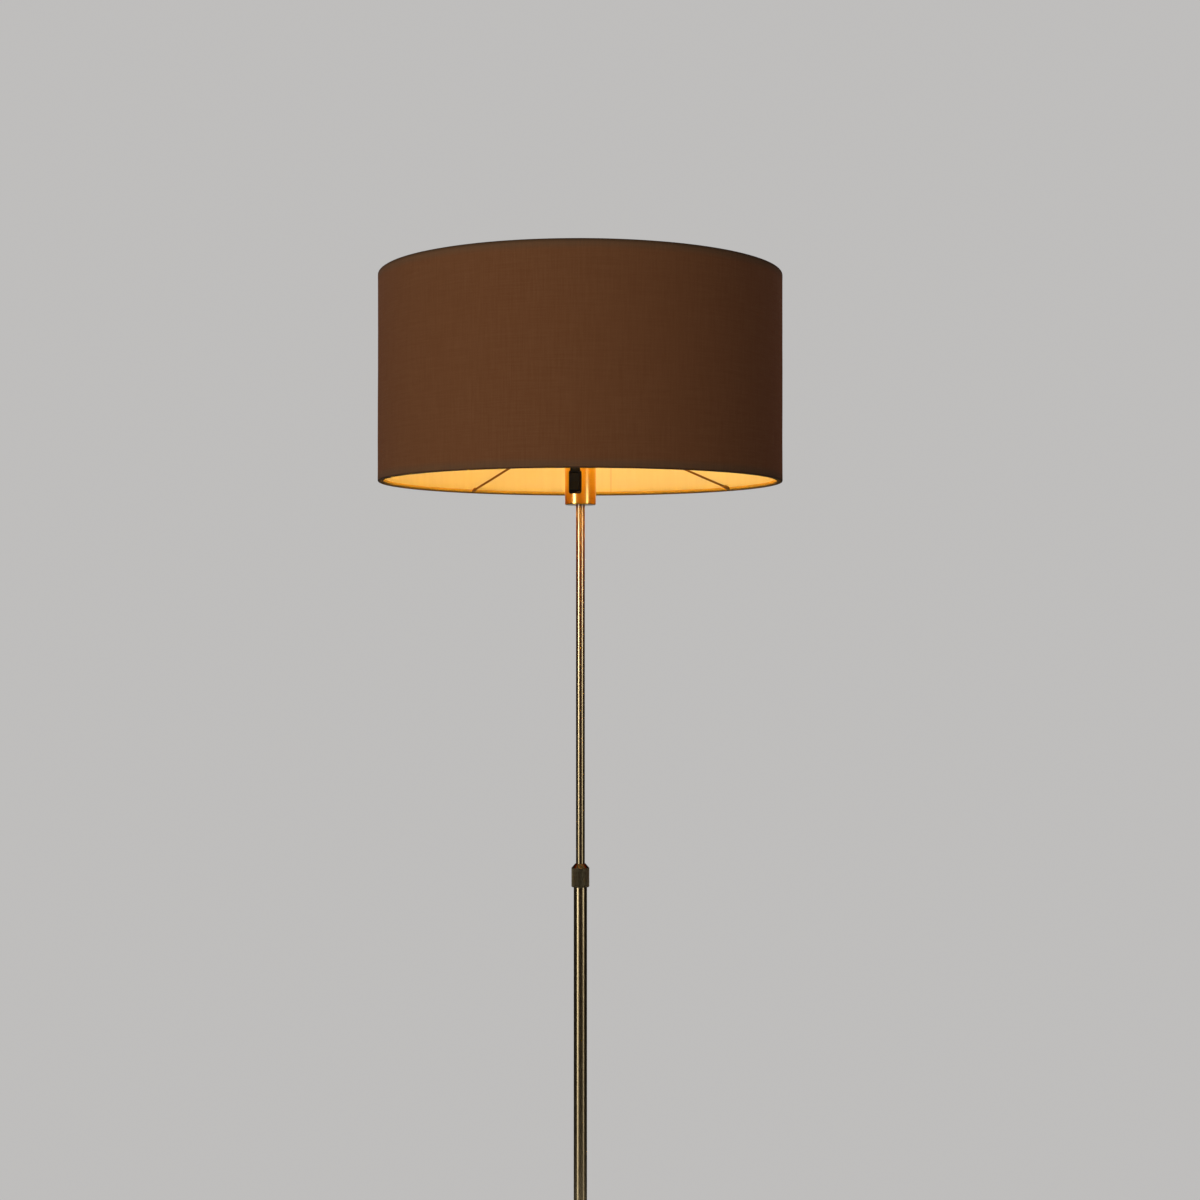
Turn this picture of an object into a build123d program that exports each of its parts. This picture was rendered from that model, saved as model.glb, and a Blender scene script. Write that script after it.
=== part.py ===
from build123d import *
import math
import os

# Adjustable floor lamp: weighted round base, two-tube stem with a screw clamp, switched lampholder in a
# brass cup, and a fabric drum shade on a four-armed wire spider.
# Millimetres, +Z up, origin on the floor below the middle of the base, front of the lamp towards -Y.

# Clearances, radial unless they say otherwise
slip_clearance = 0.08         # pieces that turn or slide in one another
push_clearance = 0.03         # pieces fixed in one another
thread_clearance = 0.12       # screwed pieces, which are plain cylinders here
seat_gap = 0.2                # along the axis, between seats of pieces that move apart

# Base
base_diameter = 280.0
base_edge_radius = 5.0
base_wall = 1.2
rim_above_floor = 1.5
foot_height = 4.6
foot_diameter = 18.0
foot_edge_radius = 1.2
foot_peg_diameter = 5.0
foot_count = 6
foot_inset = 16.0             # from the rim of the bottom plate to the middle of a foot
plate_thickness = 1.2
plate_gland_gap = 1.15
weight_thickness = 13.0
plate_overhang = 4.3          # of the bottom plate beyond the weight
plate_screw_count = 3
plate_screw_diameter = 4.0
plate_screw_length = 8.0
plate_screw_head_diameter = 8.0
plate_screw_head_height = 2.2
plate_screw_inset = 45.0      # from the rim of the weight to the middle of a screw
cord_groove_width = 8.0
cord_groove_depth = 7.0

# Fixing of the stem to the base
stud_diameter = 10.0
stud_bore = 7.0
stud_above_base = 22.0
stud_below_nut = 0.5
base_nut_width = 17.0         # across the flats
base_nut_height = 5.5
base_washer_diameter = 30.0
base_washer_thickness = 1.8
pocket_side_gap = 5.0
pocket_end_gap = 0.4
stem_hole_gap = 0.3
tube_plug_length = 25.0
stem_foot_wall = 5.0
stem_foot_height = 9.0
stem_foot_edge_radius = 3.0

# Cord gland in the back of the base
gland_bore = 6.4
gland_wall = 1.2
gland_flange_width = 1.2
gland_flange_thickness = 1.8
gland_lip_width = 0.9
gland_lip_thickness = 1.2
gland_tail_length = 4.0
gland_wall_gap = 0.15         # along the gland, for the curve of the wall

# Stem
inner_tube_diameter = 10.0
inner_tube_wall = 1.0
outer_tube_wall = 1.0
outer_tube_length = 866.0
stem_extension = 400.0        # from the top of the clamp nut up to the cup, as it stands
travel_up = 100.0             # what is left to pull out
stop_gap = 0.5
guide_bush_wall = 1.34
guide_bush_length = 40.0
bush_clip_thickness = 0.8
bush_clip_rim_gap = 0.4
bush_clip_opening = 4.0
clip_groove_depth = 0.35
end_plug_flange = 3.0
end_plug_spigot = 10.0
end_plug_bore = 5.4

# Stem clamp
ferrule_spigot_length = 22.0
ferrule_head_height = 12.0
ferrule_shoulder = 0.5        # by which the threaded head stands out from the tube
collet_wall = 1.8
collet_end_wall = 0.6
collet_lower_cone = 4.4
collet_band = 1.0
collet_upper_cone = 3.3
collet_slit = 1.0
clamp_nut_wall = 1.88
clamp_nut_skirt = 7.0         # below the end of the outer tube
clamp_nut_cap = 7.0           # above the threaded head
clamp_nut_chamfer = 5.5
clamp_nut_lip = 0.75
clamp_nut_foot_chamfer = 0.6
knurl_count = 40
knurl_depth = 0.35

# Lampholder cup
cup_diameter = 34.5
cup_wall = 1.0
cup_floor = 1.2
cup_height = 63.0
cup_edge_radius = 1.5
tube_into_cup = 12.0
holder_nut_width = 14.0       # across the flats
holder_nut_height = 4.0

# Switch in the front of the cup
switch_width = 14.9
switch_height = 25.7
switch_corner_radius = 2.5
switch_above_cup_bottom = 25.0
switch_turn = 21.0            # degrees from the front towards the left
slot_clearance = 0.1
slot_width = 12.0
bezel_rail = 1.45
bezel_proud = 0.6
housing_side_gap = 0.5
housing_floor = 8.0
housing_roof = 6.0
housing_cavity_diameter = 18.0
rocker_clearance = 0.3
rocker_pivot_depth = 5.0      # below the outside of the cup
rocker_lean = 7.0             # degrees either way from the middle
rocker_hub_diameter = 5.6
rocker_back_rise = 1.5
rocker_finger_width = 3.0
rocker_finger_gap = 0.5
rocker_pin_diameter = 2.5
rocker_pin_bite = 1.5
terminal_width = 4.0
terminal_thickness = 0.8
terminal_depth = 5.0          # from the axis of the cup
terminal_spread = 10.0        # gap between the upper and the lower terminal
blade_width = 5.0
blade_thickness = 0.4
blade_overlap = 3.0

# Lamp socket
terminal_block_height = 8.0
terminal_block_wall = 1.1     # beyond the screw shell
terminal_screw_diameter = 3.0
terminal_screw_length = 6.0
terminal_screw_head_diameter = 5.0
terminal_screw_head_height = 1.8
terminal_screw_radius = 9.4
contact_strip_length = 12.0
contact_strip_width = 6.5
contact_strip_thickness = 0.6
contact_dome_diameter = 5.0
contact_dome_height = 2.6
shell_wall = 0.5
shell_height = 24.0
shell_flange_width = 1.0
skirt_wall = 5.4
skirt_height = 37.0
skirt_foot_height = 4.0
shade_flange_width = 3.0
shade_flange_thickness = 3.0
shade_seat_height = 20.5      # from the top of the cup up to the seat of the shade
shade_ring_width = 6.35
shade_ring_height = 7.0
shade_ring_grip_count = 12
shade_ring_grip_radius = 2.2
shade_ring_grip_depth = 1.2

# Bulb
bulb_length = 108.0
bulb_diameter = 60.0
bulb_glass = 1.0
bulb_cap_diameter = 26.2
bulb_cap_wall = 0.6
bulb_cap_height = 22.0
bulb_cap_clearance = 0.3
bulb_cap_grooves = 5
bulb_cap_pitch = 3.6
bulb_cap_groove_depth = 0.45
bulb_insulator_height = 3.5
bulb_insulator_rim = 2.0
bulb_contact_diameter = 9.0
bulb_contact_height = 1.2

# Shade
shade_diameter = 450.0
shade_height = 230.0
fabric_thickness = 0.6
liner_thickness = 0.5
glue_gap = 0.1
shade_wire_diameter = 2.4
hem_wire_gap = 0.3            # between a wire and the fold of the cloth under or over it
hem_side_gap = 1.3            # between a wire and the cloth on either side of it
hem_corner_radius = 1.8
cloth_joint_gap = 0.4         # between the two ends of the cloth, under the seam strip
seam_width = 10.0
seam_thickness = 0.4
seam_end_gap = 3.0
seam_turn = 9.4               # degrees from the back towards the right

# Wire spider of the shade
spider_arm_count = 4
spider_arm_diameter = 2.6
spider_arm_turn = 37.0        # degrees from the right towards the back, first arm
spider_rise = 60.0            # from the bottom edge of the shade up to the centre ring
spider_ring_bore_gap = 0.5
spider_ring_width = 8.0
spider_ring_thickness = 2.0
spider_weld = 0.6             # depth to which an arm is melted into what it is welded to
hem_notch_gap = 0.4

# Radii that follow
inner_tube_radius = inner_tube_diameter / 2
inner_tube_bore = inner_tube_radius - inner_tube_wall
bush_bore = inner_tube_radius + slip_clearance
bush_radius = bush_bore + guide_bush_wall
outer_tube_bore = bush_radius + slip_clearance
outer_tube_radius = outer_tube_bore + outer_tube_wall
ferrule_head_radius = outer_tube_radius + ferrule_shoulder
collet_bore = inner_tube_radius + slip_clearance
collet_radius = collet_bore + collet_wall
collet_end_radius = collet_bore + collet_end_wall
clamp_nut_bore = ferrule_head_radius + thread_clearance
clamp_nut_radius = clamp_nut_bore + clamp_nut_wall
clamp_nut_hole = inner_tube_radius + seat_gap
base_radius = base_diameter / 2
base_bore = base_radius - base_wall
gland_reach = gland_wall_gap + gland_lip_thickness + gland_tail_length
plate_radius = base_bore - gland_reach - plate_gland_gap
weight_radius = plate_radius - plate_overhang
pocket_radius = base_washer_diameter / 2 + pocket_side_gap
stud_radius = stud_diameter / 2
cup_radius = cup_diameter / 2
cup_bore = cup_radius - cup_wall
housing_radius = cup_bore - housing_side_gap
shell_bore = bulb_cap_diameter / 2 + bulb_cap_clearance
shell_radius = shell_bore + shell_wall
terminal_block_radius = shell_radius + terminal_block_wall
skirt_radius = shell_radius + push_clearance + skirt_wall
shade_radius = shade_diameter / 2
hem_half_width = shade_wire_diameter / 2 + hem_side_gap + fabric_thickness
hem_half_height = shade_wire_diameter / 2 + hem_wire_gap + fabric_thickness
shade_wire_ring_radius = shade_radius - hem_half_width
spider_ring_bore = skirt_radius + spider_ring_bore_gap
spider_ring_radius = spider_ring_bore + spider_ring_width

# Heights that follow
plate_bottom = foot_height
weight_bottom = plate_bottom + plate_thickness
weight_top = weight_bottom + weight_thickness
gland_axis_height = weight_bottom + cord_groove_depth / 2
base_top = weight_top + base_wall
pocket_depth = base_washer_thickness + base_nut_height + stud_below_nut + pocket_end_gap
washer_bottom = weight_bottom + pocket_depth - base_washer_thickness
base_nut_bottom = washer_bottom - base_nut_height
outer_tube_top = base_top + outer_tube_length
ferrule_top = outer_tube_top + ferrule_head_height
clamp_nut_bottom = outer_tube_top - clamp_nut_skirt
clamp_nut_top = ferrule_top + clamp_nut_cap
cup_bottom = clamp_nut_top + stem_extension
cup_top = cup_bottom + cup_height
clip_top = outer_tube_top - ferrule_spigot_length - stop_gap - travel_up
bush_top = clip_top - bush_clip_thickness - seat_gap
inner_tube_bottom = bush_top - guide_bush_length - seat_gap
inner_tube_top = cup_bottom + tube_into_cup
housing_bottom = cup_bottom + cup_floor + holder_nut_height
switch_middle = cup_bottom + switch_above_cup_bottom
block_top = cup_top + terminal_block_height
shell_top = block_top + shell_height
shade_seat = cup_top + shade_seat_height
spider_ring_bottom = shade_seat + seat_gap
spider_ring_middle = spider_ring_bottom + spider_ring_thickness / 2
shade_ring_bottom = spider_ring_bottom + spider_ring_thickness + seat_gap
shade_bottom = spider_ring_middle - spider_rise
shade_top = shade_bottom + shade_height
bulb_bottom = block_top + contact_strip_thickness + contact_dome_height + seat_gap
insulator_bottom = bulb_bottom + bulb_contact_height
bulb_cap_bottom = insulator_bottom + bulb_insulator_height
bulb_cap_top = bulb_cap_bottom + bulb_cap_height
bulb_top = bulb_bottom + bulb_length

# Frame of the switch: x to its right, y up, z outwards from the axis of the cup
switch_out = (-math.sin(math.radians(switch_turn)), -math.cos(math.radians(switch_turn)), 0)
switch_right = (-switch_out[1], switch_out[0], 0)
switch_frame = Plane(origin=(0, 0, switch_middle), x_dir=switch_right, z_dir=switch_out)
cut_reach = 2 * cup_radius

upright = (Align.CENTER, Align.CENTER, Align.MIN)


def rod(radius, bottom, top):
    return Pos(Z=bottom) * Cylinder(radius, top - bottom, align=upright)


def tube(radius, bore, bottom, top):
    return rod(radius, bottom, top) - rod(bore, bottom, top)


def turned(*points, rounded=()):
    """Solid turned about Z from an outline of (radius, height); rounded gives (point, radius) pairs."""
    outline = Polygon(*points, align=None)
    for point, radius in rounded:
        corner = outline.vertices().sort_by_distance((point[0], point[1], 0))[0]
        outline = fillet(corner, radius)
    return revolve(Plane.XZ * outline, Axis.Z)


def hex_nut(width, bore, bottom, height):
    prism = extrude(RegularPolygon(width / 2, 6, major_radius=False), height)
    return Pos(Z=bottom) * prism - rod(bore, bottom, bottom + height)


def ring_of(count, radius, piece, start_angle=0):
    return [place * piece for place in PolarLocations(radius, count, start_angle)]


def gathered(pieces):
    return Compound(children=list(pieces))


# Base

def gland_hole():
    hole = rod(gland_bore / 2 + gland_wall + push_clearance, base_bore - gland_reach, base_radius)
    return Pos(Z=gland_axis_height) * Rot(X=-90) * hole


def base_cover():
    cover = turned(
        (0, base_top), (base_radius, base_top), (base_radius, rim_above_floor), (base_bore, rim_above_floor),
        (base_bore, weight_top), (0, weight_top),
        rounded=[((base_radius, base_top), base_edge_radius),
                 ((base_bore, weight_top), base_edge_radius - base_wall)],
    )
    return cover - rod(stud_radius + stem_hole_gap, weight_top, base_top) - gland_hole()


def plate_screw_places():
    return PolarLocations(weight_radius - plate_screw_inset, plate_screw_count, 30)


def foot_places():
    return PolarLocations(plate_radius - foot_inset, foot_count)


def base_weight():
    disc = rod(weight_radius, weight_bottom, weight_top) - rod(stud_radius + stem_hole_gap, 0, weight_top)
    pocket = rod(pocket_radius, weight_bottom, weight_bottom + pocket_depth)
    groove = Pos(Z=weight_bottom) * Box(
        cord_groove_width, weight_radius, cord_groove_depth, align=(Align.CENTER, Align.MIN, Align.MIN))
    hole = rod(plate_screw_diameter / 2 + push_clearance, weight_bottom,
               plate_bottom + plate_screw_length + seat_gap)
    return disc - pocket - groove - [place * hole for place in plate_screw_places()]


def base_plate():
    plate = rod(plate_radius, plate_bottom, weight_bottom)
    screw_hole = rod(plate_screw_diameter / 2 + push_clearance, plate_bottom, weight_bottom)
    peg_hole = rod(foot_peg_diameter / 2 + push_clearance, plate_bottom, weight_bottom)
    return (plate - [place * screw_hole for place in plate_screw_places()]
            - [place * peg_hole for place in foot_places()])


def plate_screws():
    head = rod(plate_screw_head_diameter / 2, plate_bottom - plate_screw_head_height, plate_bottom)
    shank = rod(plate_screw_diameter / 2, plate_bottom, plate_bottom + plate_screw_length)
    slot = Pos(Z=plate_bottom - plate_screw_head_height) * Box(
        plate_screw_head_diameter, plate_screw_head_height / 2, plate_screw_head_height)
    return gathered(place * (head + shank - slot) for place in plate_screw_places())


def base_feet():
    foot = turned(
        (0, 0), (foot_diameter / 2, 0), (foot_diameter / 2, foot_height), (foot_peg_diameter / 2, foot_height),
        (foot_peg_diameter / 2, foot_height + plate_thickness), (0, foot_height + plate_thickness),
        rounded=[((foot_diameter / 2, 0), foot_edge_radius)],
    )
    return gathered(place * foot for place in foot_places())


def base_stud():
    return tube(stud_radius, stud_bore / 2, base_nut_bottom - stud_below_nut, base_top + stud_above_base)


def base_washer():
    return tube(base_washer_diameter / 2, stud_radius + stem_hole_gap, washer_bottom,
                washer_bottom + base_washer_thickness)


def base_nut():
    return hex_nut(base_nut_width, stud_radius + thread_clearance, base_nut_bottom, base_nut_height)


def tube_plug():
    return tube(outer_tube_bore - push_clearance, stud_radius + thread_clearance, base_top,
                base_top + tube_plug_length)


def stem_foot():
    radius = outer_tube_radius + push_clearance + stem_foot_wall
    bore = outer_tube_radius + push_clearance
    top = base_top + stem_foot_height
    return turned((bore, base_top), (radius, base_top), (radius, top), (bore, top),
                  rounded=[((radius, top), stem_foot_edge_radius)])


def cord_gland():
    body = gland_bore / 2 + gland_wall
    flange_start = base_radius + gland_wall_gap
    lip_end = base_bore - gland_wall_gap
    pieces = (
        rod(body + gland_flange_width, flange_start, flange_start + gland_flange_thickness)
        + rod(body, lip_end, flange_start)
        + rod(body + gland_lip_width, lip_end - gland_lip_thickness, lip_end)
        + rod(body, lip_end - gland_lip_thickness - gland_tail_length, lip_end)
    )
    return Pos(Z=gland_axis_height) * Rot(X=-90) * (pieces - rod(gland_bore / 2, 0, 2 * base_radius))


# Stem

def outer_tube():
    return tube(outer_tube_radius, outer_tube_bore, base_top, outer_tube_top)


def clamp_ferrule():
    spigot_bottom = outer_tube_top - ferrule_spigot_length
    body = rod(outer_tube_bore - push_clearance, spigot_bottom, outer_tube_top)
    head = rod(ferrule_head_radius, outer_tube_top, ferrule_top)
    mouth = Pos(Z=ferrule_top - collet_lower_cone - seat_gap) * Cone(
        collet_end_radius, collet_radius + seat_gap, collet_lower_cone + seat_gap, align=upright)
    return body + head - rod(bush_bore, spigot_bottom, ferrule_top) - mouth


def clamp_collet():
    band_top = ferrule_top + collet_band
    low = ferrule_top - collet_lower_cone
    high = band_top + collet_upper_cone
    ring = turned(
        (collet_bore, low), (collet_end_radius, low), (collet_radius, ferrule_top), (collet_radius, band_top),
        (collet_end_radius, high), (collet_bore, high),
    )
    slit = Pos(Z=low) * Box(2 * collet_radius, collet_slit, high - low,
                            align=(Align.MIN, Align.CENTER, Align.MIN))
    return ring - slit


def lock_nut():
    band_top = ferrule_top + collet_band
    cone_top = band_top + collet_upper_cone
    shoulder = clamp_nut_top - clamp_nut_chamfer
    body = turned(
        (clamp_nut_bore, clamp_nut_bottom), (clamp_nut_radius - clamp_nut_foot_chamfer, clamp_nut_bottom),
        (clamp_nut_radius, clamp_nut_bottom + clamp_nut_foot_chamfer), (clamp_nut_radius, shoulder),
        (clamp_nut_hole + clamp_nut_lip, clamp_nut_top), (clamp_nut_hole, clamp_nut_top),
        (clamp_nut_hole, cone_top + seat_gap), (collet_end_radius + seat_gap, cone_top + seat_gap),
        (collet_radius + seat_gap, band_top + seat_gap), (collet_radius + seat_gap, ferrule_top + seat_gap),
        (clamp_nut_bore, ferrule_top + seat_gap),
    )
    side = 2 * knurl_depth / math.sqrt(2)
    groove = Pos(Z=clamp_nut_bottom) * Rot(Z=45) * Box(side, side, shoulder - clamp_nut_bottom, align=upright)
    return body - ring_of(knurl_count, clamp_nut_radius, groove)


def inner_tube():
    body = tube(inner_tube_radius, inner_tube_bore, inner_tube_bottom, inner_tube_top)
    groove = tube(inner_tube_radius, inner_tube_radius - clip_groove_depth, clip_top - bush_clip_thickness,
                  clip_top)
    return body - groove


def guide_bush():
    return tube(bush_radius, bush_bore, inner_tube_bottom + seat_gap, bush_top)


def bush_clip():
    ring = tube(bush_radius - bush_clip_rim_gap, inner_tube_radius - clip_groove_depth + push_clearance,
                clip_top - bush_clip_thickness, clip_top)
    opening = Pos(Z=clip_top) * Box(2 * bush_radius, bush_clip_opening, 2 * bush_clip_thickness,
                                    align=(Align.MIN, Align.CENTER, Align.CENTER))
    return ring - opening


def stem_end_plug():
    flange = rod(bush_radius - bush_clip_rim_gap, inner_tube_bottom - end_plug_flange, inner_tube_bottom)
    spigot = rod(inner_tube_bore - push_clearance, inner_tube_bottom, inner_tube_bottom + end_plug_spigot)
    bore = rod(end_plug_bore / 2, inner_tube_bottom - end_plug_flange, inner_tube_bottom + end_plug_spigot)
    return flange + spigot - bore


# Lampholder cup and switch

def switch_block(width, height, corner_radius, start, end):
    """Block with rounded corners that stands out from the axis of the cup at the switch."""
    face = RectangleRounded(width, height, corner_radius)
    return switch_frame * (Pos(Z=start) * extrude(face, end - start))


def holder_cup():
    shell = turned(
        (inner_tube_radius + push_clearance, cup_bottom), (cup_radius, cup_bottom), (cup_radius, cup_top),
        (cup_bore, cup_top), (cup_bore, cup_bottom + cup_floor),
        (inner_tube_radius + push_clearance, cup_bottom + cup_floor),
        rounded=[((cup_radius, cup_bottom), cup_edge_radius)],
    )
    window = switch_block(switch_width + 2 * slot_clearance, switch_height + 2 * slot_clearance,
                          switch_corner_radius, 0, cut_reach)
    slot = switch_frame * Box(slot_width, cup_top - switch_middle, cut_reach,
                              align=(Align.CENTER, Align.MIN, Align.MIN))
    return shell - window - slot


def holder_nut():
    return hex_nut(holder_nut_width, inner_tube_radius + thread_clearance, cup_bottom + cup_floor,
                   holder_nut_height)


def rocker_width():
    return switch_width - 2 * bezel_rail - 2 * rocker_clearance


def rocker_radius():
    return switch_height / 2 - bezel_rail - rocker_clearance


def pin_hole(clearance):
    length = rocker_width() + 2 * rocker_clearance + 2 * rocker_pin_bite
    pin = Rot(Y=90) * Cylinder(rocker_pin_diameter / 2 + clearance, length)
    return switch_frame * (Pos(Z=cup_radius - rocker_pivot_depth) * pin)


def switch_housing():
    body = rod(housing_radius, housing_bottom, cup_top)
    entry = rod(inner_tube_radius + thread_clearance, housing_bottom, housing_bottom + housing_floor)
    cavity = rod(housing_cavity_diameter / 2, housing_bottom + housing_floor, cup_top - housing_roof)
    wire_hole = rod(inner_tube_bore, cup_top - housing_roof, cup_top)
    pocket = switch_frame * Box(rocker_width() + 2 * rocker_clearance,
                                2 * (rocker_radius() + rocker_clearance), cut_reach,
                                align=(Align.CENTER, Align.CENTER, Align.MIN))
    return body - entry - cavity - wire_hole - pocket - pin_hole(push_clearance)


def switch_bezel():
    ring = tube(cup_radius + bezel_proud, housing_radius + push_clearance, cup_bottom, cup_top)
    frame = ring & switch_block(switch_width, switch_height, switch_corner_radius, 0, cut_reach)
    window = switch_frame * Box(rocker_width() + 2 * rocker_clearance,
                                2 * (rocker_radius() + rocker_clearance), 2 * cut_reach)
    return frame - window


def switch_rocker():
    """Rocker with a shallow V face; its lower end stands out, as the lamp is switched on."""
    pivot = cup_radius - rocker_pivot_depth
    radius = rocker_radius()
    rim = rocker_pivot_depth + radius * math.tan(math.radians(rocker_lean))
    hub = rocker_hub_diameter / 2
    face = Polygon((0, rocker_pivot_depth), (-radius, rim), (-radius, rocker_back_rise), (-hub, 0), (hub, 0),
                   (radius, rocker_back_rise), (radius, rim), align=None)
    finger_length = pivot - terminal_depth - terminal_thickness - blade_thickness - rocker_finger_gap
    finger = Rectangle(rocker_finger_width, finger_length, align=(Align.CENTER, Align.MAX))
    outline = (face & Circle(radius)) + Circle(hub) + finger - Circle(rocker_pin_diameter / 2 + slip_clearance)
    block = extrude(Plane.YZ * outline, rocker_width() / 2, both=True)
    return switch_frame * (Pos(Z=pivot) * Rot(X=-rocker_lean) * block)


def rocker_pin():
    return pin_hole(0)


def terminal_strip(bottom, top):
    strip = Box(terminal_width, top - bottom, terminal_thickness, align=(Align.CENTER, Align.MIN, Align.MIN))
    return switch_frame * (Pos(0, bottom, terminal_depth) * strip)


def switch_terminals():
    floor = housing_bottom + housing_floor - switch_middle
    roof = cup_top - housing_roof - switch_middle
    return gathered([terminal_strip(floor, -terminal_spread / 2), terminal_strip(terminal_spread / 2, roof)])


def contact_blade():
    blade = Box(blade_width, terminal_spread + 2 * blade_overlap, blade_thickness, align=upright)
    return switch_frame * (Pos(Z=terminal_depth + terminal_thickness) * blade)


# Lamp socket

def terminal_screw_places():
    return PolarLocations(terminal_screw_radius, 2)


def terminal_block():
    block = tube(terminal_block_radius, inner_tube_bore, cup_top, block_top)
    hole = rod(terminal_screw_diameter / 2 + push_clearance, block_top - terminal_screw_length - seat_gap,
               block_top)
    return block - [place * hole for place in terminal_screw_places()]


def terminal_screws():
    head_top = block_top + terminal_screw_head_height
    head = rod(terminal_screw_head_diameter / 2, block_top, head_top)
    shank = rod(terminal_screw_diameter / 2, block_top - terminal_screw_length, block_top)
    slot = Pos(Z=head_top) * Box(terminal_screw_head_diameter, terminal_screw_head_height / 2,
                                 terminal_screw_head_height)
    return gathered(place * (head + shank - slot) for place in terminal_screw_places())


def centre_contact():
    strip = Pos(Z=block_top) * Box(contact_strip_width, contact_strip_length, contact_strip_thickness,
                                   align=upright)
    strip_top = block_top + contact_strip_thickness
    return strip + rod(contact_dome_diameter / 2, strip_top, strip_top + contact_dome_height)


def screw_shell():
    flange_bore = shell_bore - shell_flange_width
    return turned(
        (flange_bore, block_top), (shell_radius, block_top), (shell_radius, shell_top), (shell_bore, shell_top),
        (shell_bore, block_top + shell_wall), (flange_bore, block_top + shell_wall),
    )


def holder_skirt():
    top = cup_top + skirt_height
    bore = shell_radius + push_clearance
    step = terminal_block_radius + push_clearance
    flange_bottom = shade_seat - shade_flange_thickness
    flange_radius = skirt_radius + shade_flange_width
    return turned(
        (step, cup_top), (cup_radius, cup_top), (skirt_radius, cup_top + skirt_foot_height),
        (skirt_radius, flange_bottom), (flange_radius, flange_bottom), (flange_radius, shade_seat),
        (skirt_radius, shade_seat), (skirt_radius, top), (bore, top), (bore, block_top), (step, block_top),
    )


def shade_ring():
    bore = skirt_radius + thread_clearance
    radius = bore + shade_ring_width
    ring = tube(radius, bore, shade_ring_bottom, shade_ring_bottom + shade_ring_height)
    grip = rod(shade_ring_grip_radius, shade_ring_bottom, shade_ring_bottom + shade_ring_height)
    grip_circle = radius + shade_ring_grip_radius - shade_ring_grip_depth
    return ring - ring_of(shade_ring_grip_count, grip_circle, grip)


# Bulb

def globe_form(radius, neck_radius):
    """Round bulb whose cone runs tangent from the neck into the ball."""
    ball = bulb_top - bulb_diameter / 2 - bulb_cap_top
    reach = math.hypot(neck_radius, ball)
    cone_length = math.sqrt(reach ** 2 - radius ** 2)
    cone_angle = math.asin(radius / reach) - math.atan2(neck_radius, ball)
    edge = (neck_radius + cone_length * math.sin(cone_angle), cone_length * math.cos(cone_angle))
    outline = make_face([
        Line((0, 0), (neck_radius, 0)), Line((neck_radius, 0), edge),
        ThreePointArc(edge, (radius * math.cos(math.pi / 4), ball + radius * math.sin(math.pi / 4)),
                      (0, ball + radius)),
        Line((0, ball + radius), (0, 0)),
    ])
    return Pos(Z=bulb_cap_top) * revolve(Plane.XZ * outline, Axis.Z)


def bulb_globe():
    neck_radius = bulb_cap_diameter / 2
    return (globe_form(bulb_diameter / 2, neck_radius)
            - globe_form(bulb_diameter / 2 - bulb_glass, neck_radius - bulb_glass))


def bulb_cap():
    radius = bulb_cap_diameter / 2
    cap = tube(radius, radius - bulb_cap_groove_depth - bulb_cap_wall, bulb_cap_bottom, bulb_cap_top)
    groove_radius = bulb_cap_pitch / 2
    groove = Torus(radius + groove_radius - bulb_cap_groove_depth, groove_radius)
    first = bulb_cap_bottom + bulb_cap_pitch
    return cap - [Pos(Z=first + turn * bulb_cap_pitch) * groove for turn in range(bulb_cap_grooves)]


def bulb_insulator():
    cone = Cone(bulb_contact_diameter / 2, bulb_cap_diameter / 2 - bulb_insulator_rim, bulb_insulator_height,
                align=upright)
    plug_radius = bulb_cap_diameter / 2 - bulb_cap_groove_depth - bulb_cap_wall - push_clearance
    plug = rod(plug_radius, bulb_cap_bottom, bulb_cap_bottom + bulb_insulator_height)
    return Pos(Z=insulator_bottom) * cone + plug


def bulb_contact():
    return rod(bulb_contact_diameter / 2, bulb_bottom, insulator_bottom)


# Shade

def hem_outline(wire_height, towards_middle):
    """Cloth folded round a wire and back up inside it, open towards the middle of the shade."""
    inner_width = 2 * (hem_half_width - fabric_thickness)
    inner_height = 2 * (hem_half_height - fabric_thickness)
    fold = RectangleRounded(2 * hem_half_width, 2 * hem_half_height, hem_corner_radius)
    fold -= RectangleRounded(inner_width, inner_height, hem_corner_radius - fabric_thickness)
    opening = Pos(0, towards_middle * hem_half_height / 2) * Rectangle(inner_width, hem_half_height)
    return Pos(shade_wire_ring_radius, wire_height) * (fold - opening)


def arm_axis():
    """Start, direction and length of the first spider arm, from the centre ring to the bottom wire."""
    start = (spider_ring_radius - spider_weld, spider_ring_middle)
    wire = (shade_wire_ring_radius, shade_bottom + hem_half_height)
    run = math.hypot(wire[0] - start[0], wire[1] - start[1])
    direction = ((wire[0] - start[0]) / run, (wire[1] - start[1]) / run)
    return start, direction, run


def spider_rods(radius, stop_short):
    start, direction, run = arm_axis()
    path = Plane(origin=(start[0], 0, start[1]), z_dir=(direction[0], 0, direction[1]))
    arm = path * Cylinder(radius, run - stop_short, align=upright)
    step = 360 / spider_arm_count
    return [Rot(Z=spider_arm_turn + number * step) * arm for number in range(spider_arm_count)]


def seam_slab(width):
    """Upright slab from the axis out through the shade wall where the cloth's ends meet."""
    slab = Box(2 * shade_diameter, width, shade_height, align=(Align.MIN, Align.CENTER, Align.MIN))
    return Rot(Z=90 - seam_turn) * Pos(Z=shade_bottom) * slab


def shade_fabric():
    low = shade_bottom + hem_half_height
    high = shade_top - hem_half_height
    wall = Pos(shade_radius - fabric_thickness / 2, low) * Rectangle(
        fabric_thickness, high - low, align=(Align.CENTER, Align.MIN))
    outline = wall + hem_outline(low, 1) + hem_outline(high, -1)
    cloth = revolve(Plane.XZ * outline, Axis.Z) - seam_slab(cloth_joint_gap)
    return cloth - spider_rods(spider_arm_diameter / 2 + hem_notch_gap, 0)


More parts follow.
